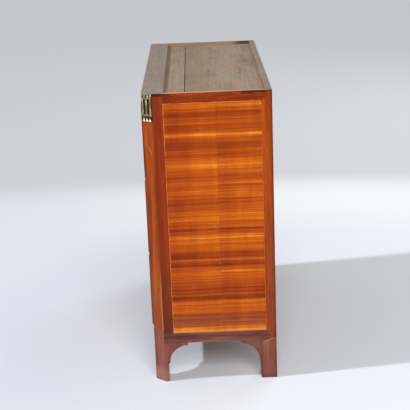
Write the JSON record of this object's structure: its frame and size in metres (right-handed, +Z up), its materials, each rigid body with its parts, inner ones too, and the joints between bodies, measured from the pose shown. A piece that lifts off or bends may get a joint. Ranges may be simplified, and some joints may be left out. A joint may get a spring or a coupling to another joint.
{
  "type": "secretary chest",
  "caption": "Chest of drawers with canted corners and bracket feet; the top drawer has a fall-front writing leaf with pigeonholes behind it.",
  "frame": {"origin": "centre of the footprint, on the floor", "axes": "+X to the chest's right as seen facing its front, +Y from front to back, +Z up"},
  "size_m": [1.058, 0.4469, 1.044],
  "materials": {
    "oak": "planed oak, waxed",
    "weathered_oak": "bare, greyed boards",
    "mahogany": "polished red-brown wood",
    "field_veneer": "streaked veneer, French polish",
    "corner_veneer": "polished veneer, upright grain",
    "banding": "dark crossbanding, polished",
    "stringing": "light line inlay",
    "gilt_bronze": "fire-gilt, worn on the high points",
    "brass": "brushed brass",
    "iron": "dark oiled iron",
    "leather": "green writing leather"
  },
  "bodies": {
    "carcass": {"right_side_board": "oak", "left_side_board": "oak", "front_right_post": "mahogany", "front_left_post": "mahogany", "rear_right_post": "oak", "rear_left_post": "oak", "front_right_foot": "mahogany", "front_left_foot": "mahogany", "rear_right_foot": "mahogany", "rear_left_foot": "mahogany", "foot_brackets": "mahogany", "base_rails": "oak", "front_base_rail": "mahogany", "right_field_veneer": "field_veneer", "left_field_veneer": "field_veneer", "right_banding": "banding", "left_banding": "banding", "side_stringing": "stringing", "corner_veneers": "corner_veneer", "front_top_rail": "weathered_oak", "rear_top_rail": "weathered_oak", "top_board_front": "weathered_oak", "top_board_rear": "weathered_oak", "bottom_board": "oak", "lower_divider": "oak", "upper_divider": "oak", "drawer_runners": "oak", "back_boards": "oak", "right_corner_mount": "gilt_bronze", "left_corner_mount": "gilt_bronze"},
    "secretary_drawer": {"secretary_box": "oak", "secretary_floor": "mahogany", "pigeonhole_case": "mahogany", "pivot_sockets": "brass"},
    "writing_leaf": {"leaf_board": "field_veneer", "leaf_leather": "leather", "leaf_pivots": "brass", "leaf_lock": "iron", "leaf_brasses": "gilt_bronze"},
    "middle_drawer": {"middle_front": "field_veneer", "middle_box": "oak", "middle_lock": "iron", "middle_brasses": "gilt_bronze"},
    "lower_drawer": {"lower_front": "field_veneer", "lower_box": "oak", "lower_lock": "iron", "lower_brasses": "gilt_bronze"},
    "small_drawer_left": {"small_drawer_left": "mahogany"},
    "small_drawer_middle": {"small_drawer_middle": "mahogany"},
    "small_drawer_right": {"small_drawer_right": "mahogany"},
    "leaf_lock_bolt": {"leaf_lock_bolt": "iron"},
    "leaf_ring_left": {"leaf_ring_left": "gilt_bronze"},
    "leaf_ring_right": {"leaf_ring_right": "gilt_bronze"},
    "middle_lock_bolt": {"middle_lock_bolt": "iron"},
    "middle_ring_left": {"middle_ring_left": "gilt_bronze"},
    "middle_ring_right": {"middle_ring_right": "gilt_bronze"},
    "lower_lock_bolt": {"lower_lock_bolt": "iron"},
    "lower_ring_left": {"lower_ring_left": "gilt_bronze"},
    "lower_ring_right": {"lower_ring_right": "gilt_bronze"}
  },
  "joints": [
    {"name": "secretary_slide", "type": "slide", "parent": "carcass", "child": "secretary_drawer", "axis": [0, -1, 0], "range_m": [0, 0.24]},
    {"name": "leaf_fall", "type": "hinge", "parent": "secretary_drawer", "child": "writing_leaf", "pos_m": [0, -0.20255, 0.75525], "axis": [1, 0, 0], "range_deg": [0, 90]},
    {"name": "small_drawer_left_slide", "type": "slide", "parent": "secretary_drawer", "child": "small_drawer_left", "axis": [0, -1, 0], "range_m": [0, 0.12]},
    {"name": "small_drawer_middle_slide", "type": "slide", "parent": "secretary_drawer", "child": "small_drawer_middle", "axis": [0, -1, 0], "range_m": [0, 0.12]},
    {"name": "small_drawer_right_slide", "type": "slide", "parent": "secretary_drawer", "child": "small_drawer_right", "axis": [0, -1, 0], "range_m": [0, 0.12]},
    {"name": "middle_slide", "type": "slide", "parent": "carcass", "child": "middle_drawer", "axis": [0, -1, 0], "range_m": [0, 0.28]},
    {"name": "lower_slide", "type": "slide", "parent": "carcass", "child": "lower_drawer", "axis": [0, -1, 0], "range_m": [0, 0.28]},
    {"name": "leaf_bolt_slide", "type": "slide", "parent": "writing_leaf", "child": "leaf_lock_bolt", "axis": [0, 0, 1], "range_m": [0, 0.007]},
    {"name": "leaf_ring_left_swing", "type": "hinge", "parent": "writing_leaf", "child": "leaf_ring_left", "pos_m": [-0.215, -0.21875, 0.894], "axis": [-1, 0, 0], "range_deg": [0, 100]},
    {"name": "leaf_ring_right_swing", "type": "hinge", "parent": "writing_leaf", "child": "leaf_ring_right", "pos_m": [0.215, -0.21875, 0.894], "axis": [-1, 0, 0], "range_deg": [0, 100]},
    {"name": "middle_bolt_slide", "type": "slide", "parent": "middle_drawer", "child": "middle_lock_bolt", "axis": [0, 0, 1], "range_m": [0, 0.007]},
    {"name": "middle_ring_left_swing", "type": "hinge", "parent": "middle_drawer", "child": "middle_ring_left", "pos_m": [-0.215, -0.21875, 0.622], "axis": [-1, 0, 0], "range_deg": [0, 100]},
    {"name": "middle_ring_right_swing", "type": "hinge", "parent": "middle_drawer", "child": "middle_ring_right", "pos_m": [0.215, -0.21875, 0.622], "axis": [-1, 0, 0], "range_deg": [0, 100]},
    {"name": "lower_bolt_slide", "type": "slide", "parent": "lower_drawer", "child": "lower_lock_bolt", "axis": [0, 0, 1], "range_m": [0, 0.007]},
    {"name": "lower_ring_left_swing", "type": "hinge", "parent": "lower_drawer", "child": "lower_ring_left", "pos_m": [-0.215, -0.21875, 0.35], "axis": [-1, 0, 0], "range_deg": [0, 100]},
    {"name": "lower_ring_right_swing", "type": "hinge", "parent": "lower_drawer", "child": "lower_ring_right", "pos_m": [0.215, -0.21875, 0.35], "axis": [-1, 0, 0], "range_deg": [0, 100]}
  ]
}
